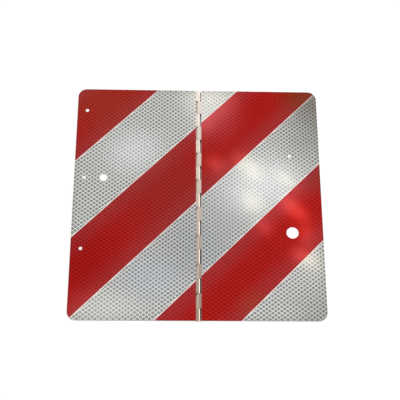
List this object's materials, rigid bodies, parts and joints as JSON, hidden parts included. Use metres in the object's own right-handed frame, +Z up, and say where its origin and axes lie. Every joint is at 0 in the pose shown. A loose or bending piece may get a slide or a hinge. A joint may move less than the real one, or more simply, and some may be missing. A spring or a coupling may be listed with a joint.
{
  "type": "rear marking plate",
  "caption": "Square folding marking plate of two aluminium leaves on a rolled hinge, faced with red and white diagonal prismatic reflective stripes.",
  "frame": {"origin": "middle of the open plate, on the surface that it lies on", "axes": "+Z up, square to the striped face; +Y along the hinge towards the top edge; +X towards the right leaf"},
  "size_m": [0.423, 0.423, 0.0049],
  "materials": {
    "aluminium_sheet": "mill finish, dull",
    "pin_steel": "drawn wire, plain",
    "white_sheeting": "prismatic retroreflective film with a diamond lattice",
    "red_sheeting": "transparent red over prismatic film"
  },
  "bodies": {
    "left_leaf": {"left_panel": "aluminium_sheet", "hinge_pin": "pin_steel", "left_sheeting": "white_sheeting", "left_red_corner": "red_sheeting", "left_red_band": "red_sheeting", "left_red_foot": "red_sheeting"},
    "right_leaf": {"right_panel": "aluminium_sheet", "right_sheeting": "white_sheeting", "right_red_upper": "red_sheeting", "right_red_lower": "red_sheeting"}
  },
  "joints": [
    {"name": "leaf_fold", "type": "hinge", "parent": "left_leaf", "child": "right_leaf", "pos_m": [0.0015, 0, 0.0022], "axis": [0, 1, 0], "range_deg": [-105, 180]}
  ]
}
